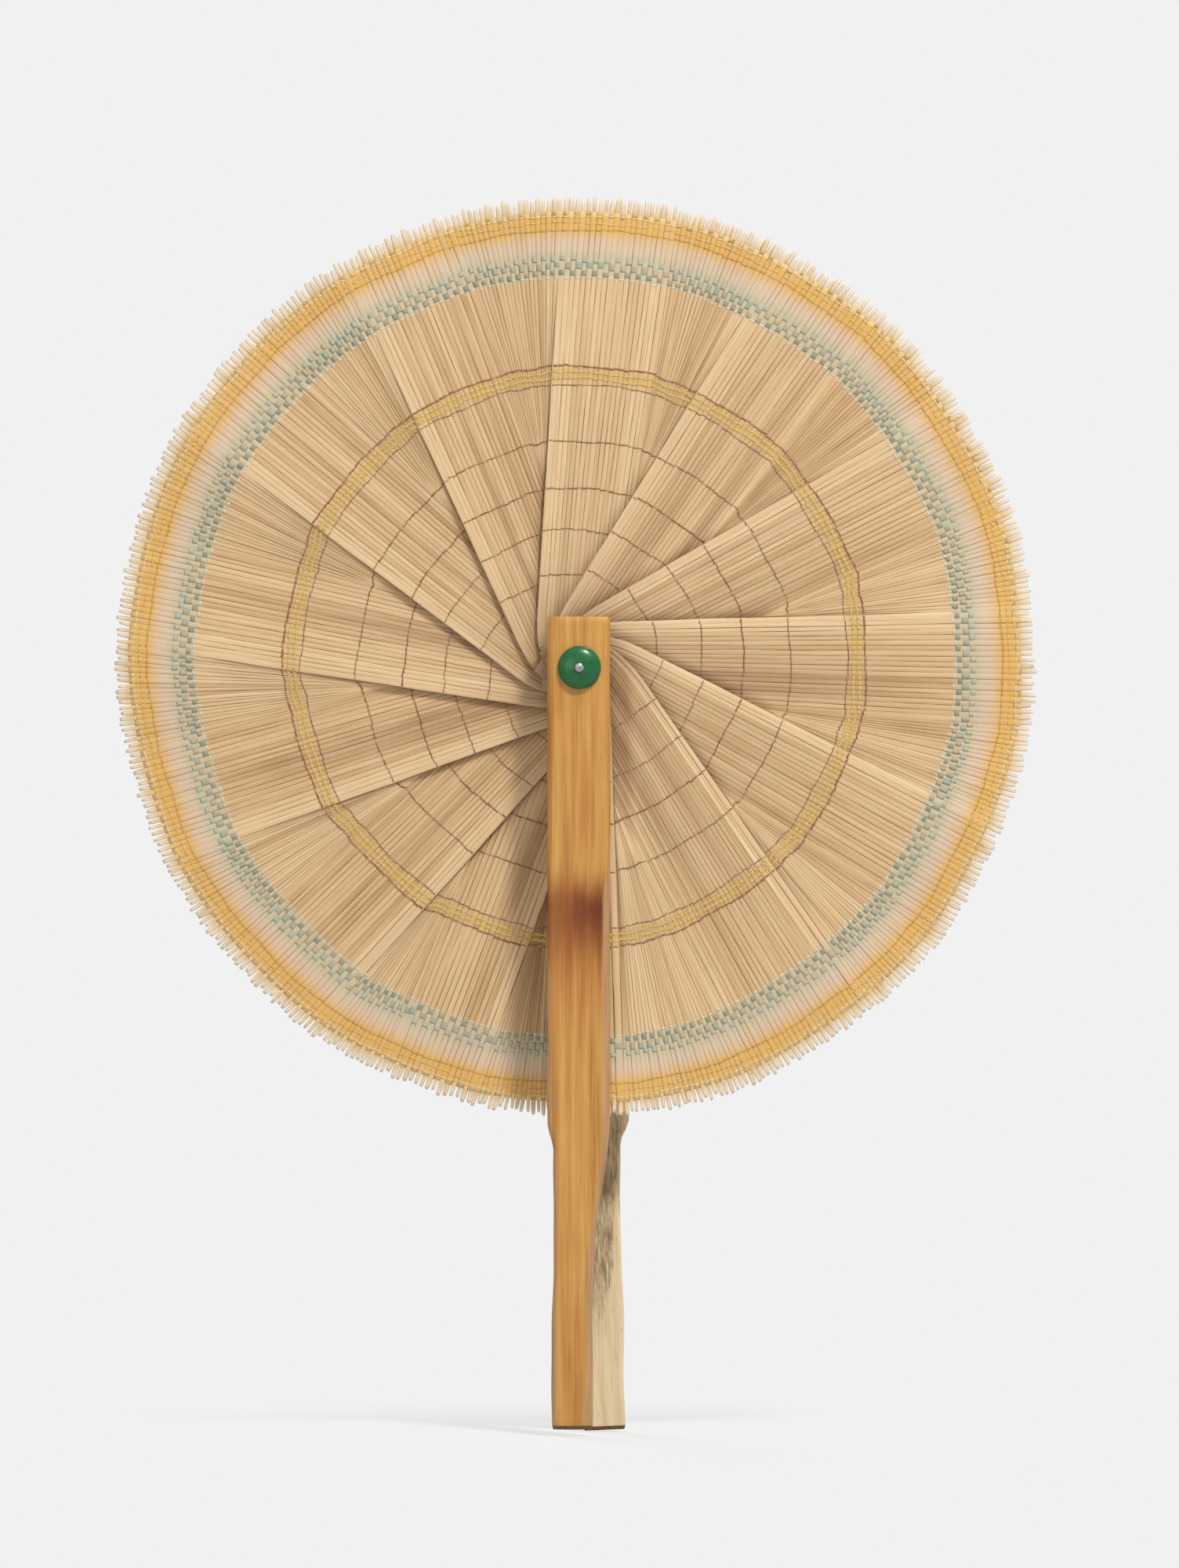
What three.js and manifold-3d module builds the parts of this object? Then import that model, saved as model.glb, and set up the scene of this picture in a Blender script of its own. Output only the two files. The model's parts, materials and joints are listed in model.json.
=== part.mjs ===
// Round folding fan: a pleated straw mat pinned between two bamboo sticks, opened to a full circle.
// Millimetres, +Z up. The front faces -Y, and the origin is on the handle's front face, where it is gripped.
import * as THREE from 'three';
import { mergeVertices } from 'three/addons/utils/BufferGeometryUtils.js';
import Module from 'manifold-3d';

const wasm = await Module();
wasm.setup();

// Leaf: one rectangular mat of splints, folded to and fro and trimmed round once it is pinned
const leafRadius = 139.9;
const rimLift = 3.4;
const rimShift = -1.4;
const innerReach = 8;
const ridgeOffset = 13.7;
const valleyAtPin = 9;
const rimOverlap = 1;
const endInset = 0.6;
const matThickness = 0.45;
const layerGap = 0.25;
const splintPitch = 2.4;
const fringeLength = 4;
const fringeSlit = 0.5;

// Pleats: how far each one opens about the pin, from the front stick round to the rear stick
const pleatCount = 13;
const firstSpreadDegrees = 35;
const middleSpreadDegrees = 28.3;
const lastSpreadDegrees = 22.2;
const lastPleats = 2;

// Sticks: flat bamboo slats, full width over the leaf and cut back to a narrower handle
const stickTop = 15.6;
const frontStickBottom = 232.4;
const rearStickBottom = 234;
const stickThickness = 3.6;
const stickLeft = 9.8;
const stickRight = 9.4;
const shoulderWidth = 3.2;
const shoulderDrop = 0.3;
const edgeWidth = 1.2;
const edgeDrop = 1.1;
const neckStart = 138.7;
const neckLeftLength = 9;
const handleLeftTop = 7.7;
const handleLeftEnd = 8.6;
const frontNeckLength = 41;
const frontHandleTop = 4.4;
const frontHandleEnd = 3.9;
const rearNeckLength = 8;
const rearHandleTop = 6.1;
const rearHandleEnd = 4.4;
const neckStations = 14;

// Pin: a wire rivet through both sticks and every panel, with a domed cap in front and a washer behind
const pinDiameter = 2;
const pinClearance = 0.15;
const seatGap = 0.15;
const capDiameter = 13.2;
const capHeight = 3;
const capRim = 0.7;
const capRings = 8;
const rivetDiameter = 2.9;
const rivetHeight = 0.8;
const rivetRings = 3;
const washerDiameter = 9;
const washerThickness = 0.6;
const headDiameter = 4.6;
const headThickness = 1;
const headChamfer = 0.4;
const roundSides = 32;
const holeSides = 16;

// Grip: the point on the handle's front face, measured down from the pin and along the face
const gripDrop = 205;
const gripSide = -2.1;

const holeRadius = pinDiameter / 2 + pinClearance;
const layerPitch = matThickness + layerGap;
const panelCount = 2 * pleatCount + 1;
const firstLayer = stickThickness + layerGap;
const rearFace = firstLayer + panelCount * layerPitch;
const radians = THREE.MathUtils.degToRad;

function material(color, roughness, metalness = 0) {
  return new THREE.MeshStandardMaterial({ color, roughness, metalness });
}

function named(name, geometry, finish) {
  const mesh = new THREE.Mesh(geometry, finish);
  mesh.name = name;
  return mesh;
}

// A closed geometry as a solid that can be cut
function solid(geometry) {
  const bare = geometry.clone();
  bare.deleteAttribute('normal');
  bare.deleteAttribute('uv');
  const merged = mergeVertices(bare, 1e-4);
  const vertProperties = Float32Array.from(merged.attributes.position.array);
  const triVerts = Uint32Array.from(merged.index.array);
  return new wasm.Manifold(new wasm.Mesh({ numProp: 3, vertProperties, triVerts }));
}

function geometryOf(cut) {
  const mesh = cut.getMesh();
  const geometry = new THREE.BufferGeometry();
  geometry.setAttribute('position', new THREE.BufferAttribute(mesh.vertProperties, 3));
  geometry.setIndex(new THREE.BufferAttribute(mesh.triVerts, 1));
  geometry.computeVertexNormals();
  return geometry;
}

// A profile of [radius, y] points turned about the pin's axis
function turned(profile, sides) {
  const points = profile.map(([radius, y]) => new THREE.Vector2(radius, y));
  return new THREE.LatheGeometry(points, sides);
}

// How far pleat i, counted from the front stick, opens about the pin
function spreadOf(i) {
  if (i === 0) return firstSpreadDegrees;
  return i < pleatCount - lastPleats ? middleSpreadDegrees : lastSpreadDegrees;
}

// Pleats: the angle of each front panel, counter-clockwise from straight down as seen from the front
const faceAngles = [0];
for (let i = 0; i < pleatCount; i += 1) {
  faceAngles.push(faceAngles[i] + spreadOf(i));
}

// A pleat's back fold: the mat between two folds is as wide as half the rim that the pleat covers
function valleyOf(i) {
  return ridgeOffset - leafRadius * radians(spreadOf(i)) / 2 - rimOverlap;
}

// The trimmed rim is a circle whose centre lies a little off the pin
function reachAt(angle) {
  return leafRadius - rimLift * Math.cos(radians(angle)) + rimShift * Math.sin(radians(angle));
}

// One panel of splints, seen from the front and hanging straight down, with its splint ends as a fringe.
// Each side is a pair: where it passes the pin, and where it meets the rim.
function panelGeometry([leftAtPin, left], [rightAtPin, right], reach) {
  const splints = Math.round((right - left) / splintPitch);
  const pitch = (right - left) / splints;
  const outline = new THREE.Shape();
  outline.moveTo(leftAtPin, innerReach);
  if (leftAtPin !== left) outline.lineTo(leftAtPin, 0);
  outline.lineTo(left, -reach);
  for (let i = 1; i < splints; i += 1) {
    const middle = left + i * pitch;
    outline.lineTo(middle - fringeSlit / 2, -reach);
    outline.lineTo(middle - fringeSlit / 2, fringeLength - reach);
    outline.lineTo(middle + fringeSlit / 2, fringeLength - reach);
    outline.lineTo(middle + fringeSlit / 2, -reach);
  }
  outline.lineTo(right, -reach);
  if (rightAtPin !== right) outline.lineTo(rightAtPin, 0);
  outline.lineTo(rightAtPin, innerReach);
  outline.closePath();
  const hole = new THREE.Path();
  hole.absarc(0, 0, holeRadius, 0, 2 * Math.PI, true);
  outline.holes.push(hole);
  const options = { depth: matThickness, bevelEnabled: false, curveSegments: holeSides / 2 };
  const geometry = new THREE.ExtrudeGeometry(outline, options);
  return geometry.rotateX(Math.PI / 2).translate(0, matThickness, 0);
}

// Leaf: front panels with return panels between them, each one layer further back and further round.
// The mat starts behind the front stick and ends on the rear stick, and its splints are gathered at the pin.
function makeLeaf() {
  const leaf = new THREE.Group();
  const frontEdge = endInset - stickLeft;
  const rearEdge = stickRight - endInset;
  const place = (name, angle, layer, left, right) => {
    const geometry = panelGeometry(left, right, reachAt(angle));
    const panel = named(name, geometry, material(0xd8b98a, 0.8));
    panel.position.y = firstLayer + layer * layerPitch;
    panel.rotation.y = -radians(angle);
    leaf.add(panel);
  };
  faceAngles.forEach((angle, i) => {
    const number = String(i + 1).padStart(2, '0');
    const left = i === 0 ? [frontEdge, frontEdge] : [-valleyAtPin, valleyOf(i - 1)];
    const ridge = i === 0 ? [rearEdge, ridgeOffset] : [ridgeOffset, ridgeOffset];
    const right = i === pleatCount ? [rearEdge, rearEdge] : ridge;
    place(`leaf_face_${number}`, angle, 2 * i, left, right);
    if (i < pleatCount) {
      const between = angle + spreadOf(i) / 2;
      place(`leaf_return_${number}`, between, 2 * i + 1, [-valleyAtPin, valleyOf(i)], ridge);
    }
  });
  return leaf;
}

// The half width of a stick on one side at a depth below the pin
function halfWidth(depth, bottom, full, neck, handleTop, handleEnd) {
  if (depth <= neckStart) return full;
  const eased = THREE.MathUtils.smoothstep(depth, neckStart, neckStart + neck);
  const along = Math.max(0, depth - neckStart - neck) / (bottom - neckStart - neck);
  const handle = THREE.MathUtils.lerp(handleTop, handleEnd, along);
  return THREE.MathUtils.lerp(full, handle, eased);
}

// A slat lofted down its length: flat inside, and crowned outside with a flat strip down its middle
function stickGeometry(bottom, neckLength, handleTop, handleEnd) {
  const depths = [-stickTop, stickTop];
  const longestNeck = Math.max(neckLength, neckLeftLength);
  for (let i = 0; i <= neckStations; i += 1) {
    depths.push(neckStart + (i / neckStations) ** 2 * longestNeck);
  }
  depths.push(bottom);
  const ring = (depth) => {
    const left = -halfWidth(depth, bottom, stickLeft, neckLeftLength, handleLeftTop, handleLeftEnd);
    const right = halfWidth(depth, bottom, stickRight, neckLength, handleTop, handleEnd);
    const section = [
      [left, stickThickness],
      [left, edgeDrop],
      [left + edgeWidth, shoulderDrop],
      [left + shoulderWidth, 0],
      [right - shoulderWidth, 0],
      [right - edgeWidth, shoulderDrop],
      [right, edgeDrop],
      [right, stickThickness],
    ];
    return section.map(([x, y]) => [x, y, -depth]);
  };
  const rings = depths.map(ring);
  const count = rings[0].length;
  const index = [];
  for (let s = 0; s + 1 < rings.length; s += 1) {
    for (let i = 0; i < count; i += 1) {
      const a = s * count + i;
      const b = s * count + (i + 1) % count;
      index.push(a, a + count, b, b, a + count, b + count);
    }
  }
  const last = (rings.length - 1) * count;
  for (let i = 1; i + 1 < count; i += 1) {
    index.push(0, i, i + 1);
    index.push(last, last + i + 1, last + i);
  }
  const geometry = new THREE.BufferGeometry();
  geometry.setAttribute('position', new THREE.Float32BufferAttribute(rings.flat(2), 3));
  geometry.setIndex(index);
  const drill = turned([
    [0, -stickThickness],
    [holeRadius, -stickThickness],
    [holeRadius, 2 * stickThickness],
    [0, 2 * stickThickness],
  ], holeSides);
  return geometryOf(solid(geometry).subtract(solid(drill)));
}

function makeFrontStick() {
  const geometry = stickGeometry(frontStickBottom, frontNeckLength, frontHandleTop, frontHandleEnd);
  return named('front_stick', geometry, material(0xc48c3f, 0.45));
}

// The rear stick has its skin behind, so it is the same slat turned to face the other way
function makeRearStick() {
  const geometry = stickGeometry(rearStickBottom, rearNeckLength, rearHandleTop, rearHandleEnd);
  const mirrored = solid(geometry).mirror([0, 1, 0]);
  const stick = named('rear_stick', geometryOf(mirrored), material(0xd9c190, 0.55));
  stick.position.y = rearFace + stickThickness;
  stick.rotation.y = -radians(faceAngles[pleatCount]);
  return stick;
}

// Cap: a domed button on the front stick, bored for the pin
function makePinCap() {
  const dome = new THREE.EllipseCurve(0, 0, capDiameter / 2, capHeight - capRim, 0, Math.PI / 2);
  const open = dome.getPoints(capRings).filter((point) => point.x > holeRadius);
  const crown = open.map((point) => [point.x, -seatGap - capRim - point.y]);
  const crownTop = -seatGap - capHeight;
  const profile = [
    [holeRadius, -seatGap],
    [holeRadius, crownTop],
    ...crown.reverse(),
    [capDiameter / 2, -seatGap],
    [holeRadius, -seatGap],
  ];
  return named('pin_cap', turned(profile, roundSides), material(0x1f7042, 0.25));
}

function makeRearWasher() {
  const front = rearFace + stickThickness + seatGap;
  const back = front + washerThickness;
  const profile = [
    [holeRadius, front],
    [washerDiameter / 2, front],
    [washerDiameter / 2, back],
    [holeRadius, back],
    [holeRadius, front],
  ];
  return named('rear_washer', turned(profile, roundSides), material(0xb9b6ae, 0.35, 0.9));
}

// Pin: a flat nail head behind the washer, a plain shank, and a peened end over the cap
function makePivotPin() {
  const headFront = rearFace + stickThickness + washerThickness + 2 * seatGap;
  const peenBase = -capHeight - 2 * seatGap;
  const peen = new THREE.EllipseCurve(0, 0, rivetDiameter / 2, rivetHeight, 0, Math.PI / 2);
  const peenRings = peen.getPoints(rivetRings).slice(0, rivetRings);
  const profile = [
    [0, peenBase - rivetHeight],
    ...peenRings.reverse().map((point) => [point.x, peenBase - point.y]),
    [pinDiameter / 2, peenBase],
    [pinDiameter / 2, headFront],
    [headDiameter / 2, headFront],
    [headDiameter / 2, headFront + headThickness - headChamfer],
    [headDiameter / 2 - headChamfer, headFront + headThickness],
    [0, headFront + headThickness],
  ];
  return named('pivot_pin', turned(profile, roundSides), material(0xb4b8b4, 0.3, 0.9));
}

// Fan: everything is placed about the pin, and the whole is then set on the grip
const aboutPin = new THREE.Group();
aboutPin.add(makeFrontStick(), makeRearStick(), makePivotPin(), makePinCap(), makeRearWasher(), makeLeaf());
aboutPin.position.set(-gripSide, 0, gripDrop);

const fan = new THREE.Group();
fan.add(aboutPin);

export default fan;
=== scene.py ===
"""Round folding fan: a pleated straw mat pinned between two bamboo sticks, dressed over its CAD frame."""
import json
import math
from dataclasses import dataclass

import bmesh
import bpy
import numpy as np
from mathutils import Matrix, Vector


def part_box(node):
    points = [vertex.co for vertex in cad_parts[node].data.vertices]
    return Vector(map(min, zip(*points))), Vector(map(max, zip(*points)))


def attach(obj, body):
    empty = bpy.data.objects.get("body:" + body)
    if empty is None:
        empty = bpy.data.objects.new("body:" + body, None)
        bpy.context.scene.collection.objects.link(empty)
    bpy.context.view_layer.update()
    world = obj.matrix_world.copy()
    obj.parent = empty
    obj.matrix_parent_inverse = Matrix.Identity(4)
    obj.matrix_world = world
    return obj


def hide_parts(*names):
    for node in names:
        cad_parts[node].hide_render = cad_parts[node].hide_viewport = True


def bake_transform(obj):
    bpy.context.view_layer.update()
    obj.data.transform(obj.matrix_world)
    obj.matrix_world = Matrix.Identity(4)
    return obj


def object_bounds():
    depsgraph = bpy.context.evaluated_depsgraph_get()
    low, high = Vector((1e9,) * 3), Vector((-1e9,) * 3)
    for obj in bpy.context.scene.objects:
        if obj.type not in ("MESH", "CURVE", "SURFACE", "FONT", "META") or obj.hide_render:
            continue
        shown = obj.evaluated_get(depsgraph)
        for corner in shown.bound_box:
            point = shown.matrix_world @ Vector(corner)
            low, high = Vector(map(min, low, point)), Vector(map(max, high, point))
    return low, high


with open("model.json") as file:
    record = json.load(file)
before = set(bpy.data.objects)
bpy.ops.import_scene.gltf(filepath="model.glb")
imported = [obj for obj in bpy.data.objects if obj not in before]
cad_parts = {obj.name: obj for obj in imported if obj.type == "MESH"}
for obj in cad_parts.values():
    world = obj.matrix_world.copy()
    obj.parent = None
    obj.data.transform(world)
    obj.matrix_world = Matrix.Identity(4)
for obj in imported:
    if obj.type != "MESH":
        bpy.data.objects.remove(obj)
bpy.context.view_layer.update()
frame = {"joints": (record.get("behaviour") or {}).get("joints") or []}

# Sizes are in millimetres until a mesh is made
MM = 0.001
SEED = 27
RETURN_SEED = SEED + 50

# Leaf, as in the CAD model
LEAF_REACH = 139.9
RIM_LIFT = 3.4
RIM_SHIFT = -1.4
INNER_REACH = 8.0
RIDGE = 13.7
VALLEY_AT_PIN = -9.0
RIM_OVERLAP = 1.0
STICK_LEFT = 9.8
STICK_RIGHT = 9.4
END_INSET = 0.6
# The mat's edge is drawn this far towards a circle, which lies this far beyond a panel's middle
RIM_ROUND = 0.75
RIM_SWELL = 0.6

# Splints: flat straws, side by side
SPLINT_PITCH = 1.8
SPLINT_FILL = 1.17
FOLD_FILL = 1.25
SPLINT_THICKNESS = 0.24
SPLINT_STAGGER = 0.04
LEAST_WIDTH = 0.6
TIP_JITTER = 0.8
TIP_BEND = 0.3
SWAY = 0.06
# Sway: its wavelengths, how far out it is full, and its share in depth
SWAY_LENGTHS = (60, 120)
SWAY_GROWTH = 40.0
SWAY_IN_DEPTH = 0.5
# Random draws: how splints end near the pin, and how wide splints and tips are
INNER_JITTER = 0.4
SPLINT_WIDTHS = (0.96, 1.04)
TIP_WIDTHS = (0.7, 1.06)
# Tones from 0 to 1, by panel and by splint, and those of splints at a ridge, paler as a painted highlight
PANEL_TONE = 0.4
SPLINT_TONE = 0.6
GLEAM_TONES = (0.85, 1.0)
# Splints pass round the pin's axis at this distance or more
PIN_PART = 1.25
TINY = 1e-6
# Splints this far over, bent at a ridge, are made paler as a painted highlight
RIDGE_GLEAM = 10.6
# Near the pin the splints are drawn together to this share of their offset, over this distance
GATHER = 0.8
GATHER_REACH = 14.0

# Pleats: how far a fold stands out of the leaf's plane for each millimetre from the pin
FOLD_RISE = 0.0045
FOLD_RISE_STEP = 0.0015
# At the pin a return panel lies this far behind one front panel and this far before the next
BEHIND_RIDGE = 1.3
BEFORE_VALLEY = 0.25
# At the rim it lies this far behind the ridge
RIM_STEP = 0.15
# How steeply the last splints before a ridge turn back, the outermost last
RIDGE_CURL = (0.015, 0.035, 0.06, 0.1)
# Painted shade on the first splints behind a ridge and on those of the rearmost panels, and where that fades
FOLD_SHADE = (0.95, 0.75, 0.5, 0.3, 0.15)
REAR_SHADE = (1.0, 0.97, 0.94, 0.9, 0.86, 0.8, 0.73, 0.65, 0.55, 0.42, 0.3, 0.18)
SHADE_AND_SOIL_FADE = (50.0, 118.0)
# How much darker the front panels are towards the pin, from the front stick round
PANEL_DARKENING = (0.0, 0.17, 0.17, 0.15, 0.07, 0.0, 0.08, 0.0, 0.0, 0.0, 0.0, 0.0, 0.0, 0.0)
# Neighbours share their tone: weights of the splints around one, and how much that tans and soils it
STREAK = (0.19, 0.44, 0.63, 0.44, 0.19)
STREAK_TAN = 0.15
STREAK_SOIL = 0.17
# Beside the ridge in front a panel gets this much painted shade, over this distance
SHADE = 0.33
SHADE_REACH = 4.0
# A distance at which none of that is left
UNSHADED = 100.0
# The steepest slope across a splint
STEEPEST = 0.6
# Return panels are cut into strips of about this many splints
STRIP_SPLINTS = 3

# Strands woven across the splints
RIBBON_THICKNESS = 0.13
THREAD_THICKNESS = 0.08
# How far a strand spans each splint to either side, whole or cut
FLOAT_SHARE = 0.44
CUT_SHARE = 0.5
# Where it rests, as a share of the splint's thickness
ROW_SEAT = 0.46
# It drifts in a wave by splint, inset and panel, and strays at random
ROW_DRIFT = 0.22
ROW_WAVE = (0.4, 7.3, 5.1)
ROW_JITTER = 0.1
ROW_WIDTHS = (0.72, 1.2)

# Sticks, as in the CAD model
STICK_TOP = 15.6
FRONT_BOTTOM = 232.4
REAR_BOTTOM = 234.0
STICK_THICKNESS = 3.6
NECK_START = 138.7
LEFT_NECK = (9.0, 7.7, 8.6)
FRONT_NECK = (41.0, 4.4, 3.9)
REAR_NECK = (8.0, 6.1, 4.4)
EDGE_DROP = 1.1
EDGE_WIDTH = 1.3
CROWN_DROP = 0.35
CROWN_WIDTH = 4.2
# Below the scorch the right edge is pared down to the fibre
PARED_RANGE = (54.0, 72.0)
PARED_DROP = 0.7
PARED_WIDTH = 2.6
STICK_BEVEL = 0.35
FOOT_BEVEL = 1.2

# Pin and cap
CAP_DIAMETER = 13.2
CAP_HEIGHT = 3.0
CAP_RIM = 0.7
SEAT_GAP = 0.15
RIVET_DIAMETER = 2.9
RIVET_HEIGHT = 0.8
WASHER_DIAMETER = 9.0
HEAD_DIAMETER = 4.6
PIN_DIAMETER = 2.0
PIN_HOLE = PIN_DIAMETER / 2 + SEAT_GAP
# Rounded and drawn-in edges of the cap, the pin and the washer
CAP_ROUND = 0.3
CAP_UNDERCUT = 0.2
CAP_DIMPLE = 0.1
DOME_INSET = 0.25
RIVET_RIM = 0.12
HEAD_ROUND = 0.4
HEAD_UNDERCUT = 0.1
WASHER_BEVEL = 0.15
CAP_SEGMENTS = 64
PIN_SEGMENTS = 40
WASHER_SEGMENTS = 48


def srgb(red, green, blue):
    """A colour as seen on a screen, 0 to 255, as the linear colour that shaders take."""
    def channel(value):
        share = value / 255
        return share / 12.92 if share <= 0.04045 else ((share + 0.055) / 1.055) ** 2.4
    return (channel(red), channel(green), channel(blue), 1.0)


# Colours
STRAW = srgb(208, 174, 129)
STRAW_TONES = [
    (0.00, srgb(160, 121, 80)),
    (0.28, srgb(190, 153, 108)),
    (0.52, STRAW),
    (0.78, srgb(220, 189, 145)),
    (1.00, srgb(233, 207, 167)),
]
ROSY_STRAW = srgb(208, 164, 132)
# Painted shade for the gaps between splints
STRAW_GAP_SHADE = srgb(132, 92, 56)
# Colours that darken another one
# Tint of painted shade and of soil on straw
SHADE_AND_SOIL_TINT = srgb(150, 120, 92)
DYE_SHADE = srgb(222, 206, 186)
YARN_SHADE = srgb(206, 190, 172)
# Dyes and threads
ORANGE = srgb(226, 181, 98)
DEEP_ORANGE = srgb(204, 154, 74)
PALE_ORANGE = srgb(230, 200, 142)
PEACH = srgb(224, 194, 158)
PALE_PEACH = srgb(219, 199, 176)
MINT = srgb(202, 196, 168)
PALE_TEAL = srgb(174, 180, 160)
TEAL = srgb(162, 168, 148)
DEEP_TEAL = srgb(146, 150, 129)
PALE_THREAD = srgb(216, 210, 184)
YELLOW = srgb(214, 178, 108)
DARK_THREAD = srgb(156, 102, 72)
RED_THREAD = srgb(150, 86, 66)
FINE_THREAD = srgb(142, 102, 72)
TIP = srgb(243, 231, 206)
# Straw darker towards the pin
NEAR_PIN_TONE = srgb(150, 108, 70)

PIN = [value / MM for value in frame["joints"][0]["pos_m"]]
SPREADS = [
    math.radians(joint["range_deg"][1])
    for joint in frame["joints"]
    if not joint["name"].startswith("turn_")
]
PLEATS = len(SPREADS)
ANGLES = np.concatenate([[0.0], np.cumsum(SPREADS)])
VALLEYS = [RIDGE - LEAF_REACH * spread / 2 - RIM_OVERLAP for spread in SPREADS]
# The folds next to the sticks lie flat, and the rest stand out step by step
RISES = [min(FOLD_RISE, FOLD_RISE_STEP * min(i, PLEATS - i)) for i in range(PLEATS + 1)]


@dataclass
class Panel:
    """A row of splints between two folds. Each value holds one number for each splint."""
    theta: np.ndarray
    reach: np.ndarray
    # Offset from the radius at the pin, and its growth outward
    u: np.ndarray
    lean: np.ndarray
    # Width at the pin, negative where the row lies turned over, and its growth outward
    width: np.ndarray
    widen: np.ndarray
    # Depth at the pin, and its growth outward
    depth: np.ndarray
    rise: np.ndarray
    # Step in depth from one side to the other at the pin, and its growth outward
    drop: np.ndarray
    lift: np.ndarray
    # Slope with which a splint next to a ridge turns back
    curl: np.ndarray
    # How much a splint is darkened: painted shade in folds and on the rearmost panels, and the front panels'
    # darkening towards the pin
    shade_and_soil: np.ndarray
    # Angle from the panel in front whose ridge lies over this one, or 0
    spread: float = 0.0


def reach_at(theta):
    return LEAF_REACH - RIM_LIFT * np.cos(theta) + RIM_SHIFT * np.sin(theta)


def tip_reach(i, rim_u):
    """How far out the splints of front panel i end, at offsets rim_u from its radius."""
    straight = reach_at(ANGLES[i])
    round_edge = np.sqrt((straight + RIM_SWELL) ** 2 - rim_u ** 2)
    return straight + RIM_ROUND * (round_edge - straight)


def layer_middle(node):
    low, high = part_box(node)
    return (low.y + high.y) / 2 / MM


def ridge_line(i):
    """Offsets of front panel i's right side at the pin and at the rim."""
    flush = STICK_RIGHT - END_INSET
    if i == PLEATS:
        return flush, flush
    return (flush if i == 0 else RIDGE), RIDGE


def valley_line(i):
    """Offsets of front panel i's left side at the pin and at the rim."""
    flush = END_INSET - STICK_LEFT
    if i == 0:
        return flush, flush
    return VALLEY_AT_PIN, VALLEYS[i - 1]


def splints_across(start, end):
    """Middles and widths of splints as shares across a panel, and their offsets at the pin and at the rim."""
    at_pin = start[0] / (start[0] - end[0])
    count = abs(end[1] - start[1]) / SPLINT_PITCH
    before = max(1, round(at_pin * count))
    after = max(1, round((1 - at_pin) * count))
    # The pin passes between two splints
    edges = np.concatenate([np.linspace(0, at_pin, before + 1), np.linspace(at_pin, 1, after + 1)[1:]])
    share = (edges[:-1] + edges[1:]) / 2
    u, rim_u = (a + (b - a) * share for a, b in zip(start, end))
    return share, np.diff(edges), u, rim_u


def face_name(i):
    return f"leaf_face_{i + 1:02d}"


def face_body(i):
    if i == 0:
        return "front_guard"
    return "rear_guard" if i == PLEATS else f"face_{i + 1:02d}"


def fold_depths(i):
    """Depths at the pin of return panel i's two sides, behind one front panel and before the next."""
    return layer_middle(face_name(i)) + BEHIND_RIDGE, layer_middle(face_name(i + 1)) - BEFORE_VALLEY


def fold_rises(i):
    """How far return panel i's ridge comes forward and its valley goes back with each millimetre outward."""
    forward = RISES[i] + (BEHIND_RIDGE - RIM_STEP) / LEAF_REACH
    return forward, RISES[i + 1] + BEFORE_VALLEY / LEAF_REACH


def ridge_curl(count):
    curl = np.zeros(count)
    curl[-len(RIDGE_CURL):] = RIDGE_CURL
    return curl


def shade_from(values, count):
    shade_and_soil = np.zeros(count)
    shade_and_soil[:len(values)] = values
    return shade_and_soil


def face_panel(i):
    """A front panel, from its valley fold at the back to its ridge fold at the front."""
    left, right = valley_line(i), ridge_line(i)
    share, part, u, rim_u = splints_across(left, right)
    reach = reach_at(ANGLES[i])
    # The rearmost panel takes painted shade on its first splints, in the shadowed wedge beside the sticks
    shade_and_soil = shade_from(REAR_SHADE if i == PLEATS else (), len(share))
    return Panel(
        theta=np.full(len(share), ANGLES[i]),
        reach=tip_reach(i, rim_u),
        u=u,
        lean=(rim_u - u) / reach,
        width=(right[0] - left[0]) * part,
        widen=(right[1] - left[1] - right[0] + left[0]) * part / reach,
        depth=np.full(len(share), layer_middle(face_name(i))),
        rise=RISES[i] * (1 - 2 * share),
        drop=np.zeros(len(share)),
        lift=-2 * RISES[i] * part,
        curl=np.zeros(len(share)) if i == PLEATS else ridge_curl(len(share)),
        shade_and_soil=shade_and_soil + PANEL_DARKENING[i] * (u < RIDGE_GLEAM),
        spread=SPREADS[i - 1] if i > 0 else 0.0,
    )


def return_panel(i):
    """A return panel, which fans out from one front panel's ridge to the next one's valley."""
    ridge, valley = ridge_line(i), valley_line(i + 1)
    share, part, u, rim_u = splints_across(ridge, valley)
    near, far = fold_depths(i)
    forward, backward = fold_rises(i)
    theta = ANGLES[i] + share * SPREADS[i]
    ridge_tip = np.hypot(tip_reach(i, ridge[1]), ridge[1])
    valley_tip = np.hypot(tip_reach(i + 1, valley[1]), valley[1])
    reach = np.sqrt((ridge_tip + share * (valley_tip - ridge_tip)) ** 2 - rim_u ** 2)
    lean = (rim_u - u) / reach
    opening = (valley[1] - ridge[1] - valley[0] + ridge[0]) / reach
    return Panel(
        theta=theta,
        reach=reach,
        u=u,
        lean=lean,
        width=(valley[0] - ridge[0] + SPREADS[i] * lean * u) * part,
        widen=(SPREADS[i] * (1 + lean ** 2) + opening) * part,
        depth=near + share * (far - near),
        rise=share * backward - (1 - share) * forward,
        drop=(far - near) * part,
        lift=(forward + backward) * part,
        curl=np.zeros(len(share)),
        # Painted shade on the first splints behind the ridge, deeper and wider on the last return
        shade_and_soil=shade_from(REAR_SHADE if i == PLEATS - 1 else FOLD_SHADE, len(share)),
    )


def place(theta, u, r, y):
    """Points of the row frame: theta round from straight down, u across and r outward from the pin."""
    x = PIN[0] + r * np.sin(theta) + u * np.cos(theta)
    z = PIN[2] - r * np.cos(theta) + u * np.sin(theta)
    return np.stack(np.broadcast_arrays(x, y, z), axis=-1)


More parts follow.
